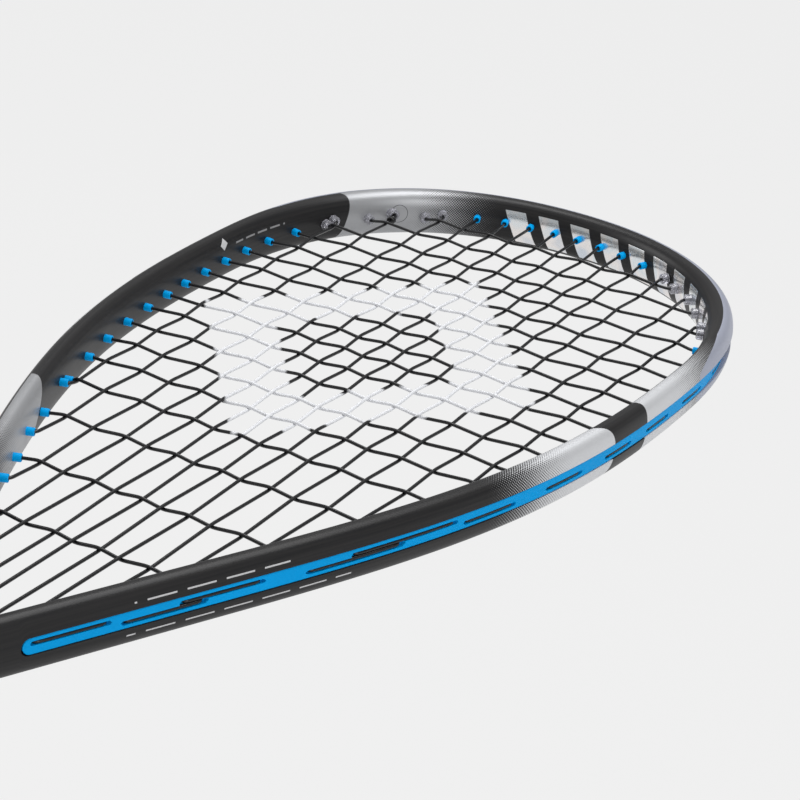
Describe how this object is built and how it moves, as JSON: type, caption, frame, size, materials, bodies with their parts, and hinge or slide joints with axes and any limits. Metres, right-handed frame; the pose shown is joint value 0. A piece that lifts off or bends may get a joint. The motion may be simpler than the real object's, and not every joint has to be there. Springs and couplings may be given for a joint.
{
  "type": "squash racket",
  "caption": "Teardrop squash racket: hollow carbon hoop and shaft, grommet strips, one continuous woven string, wrapped oval handle with collar and flat butt cap.",
  "frame": {"origin": "centre of the butt cap's flat end face", "axes": "+Y runs from the butt to the tip, +Z is square to the string plane, and the strings lie in the plane z = 0"},
  "size_m": [0.1952, 0.6859, 0.0322],
  "materials": {
    "frame_paint": "satin black lacquer over carbon, silver panels",
    "foam": "expanded elastic foam",
    "blue_plastic": "satin moulded nylon",
    "clear_plastic": "smoky soft plastic",
    "string": "coated multifilament",
    "handle_foam": "moulded foam",
    "cap_plastic": "matt moulded",
    "badge": "domed resin",
    "steel": "drawn wire",
    "grip_wrap": "tacky perforated polyurethane wrap",
    "tape": "satin vinyl tape",
    "collar_rubber": "matt rubber"
  },
  "bodies": {
    "root": {"frame": "frame_paint", "foam_insert_left": "foam", "foam_insert_right": "foam", "side_grommet_strip_left": "blue_plastic", "side_grommet_strip_right": "blue_plastic", "shoulder_grommet_left": "clear_plastic", "shoulder_grommet_right": "clear_plastic", "tip_grommet_strip": "blue_plastic", "throat_grommet": "blue_plastic", "string": "string", "tip_tie_knot": "string", "throat_tie_knot": "string", "handle_shell_left": "handle_foam", "handle_shell_right": "handle_foam", "butt_cap": "cap_plastic", "butt_badge": "badge", "cap_staples": "steel", "grip": "grip_wrap", "grip_tack": "steel", "finishing_tape": "tape", "rubber_collar": "collar_rubber"}
  },
  "joints": []
}
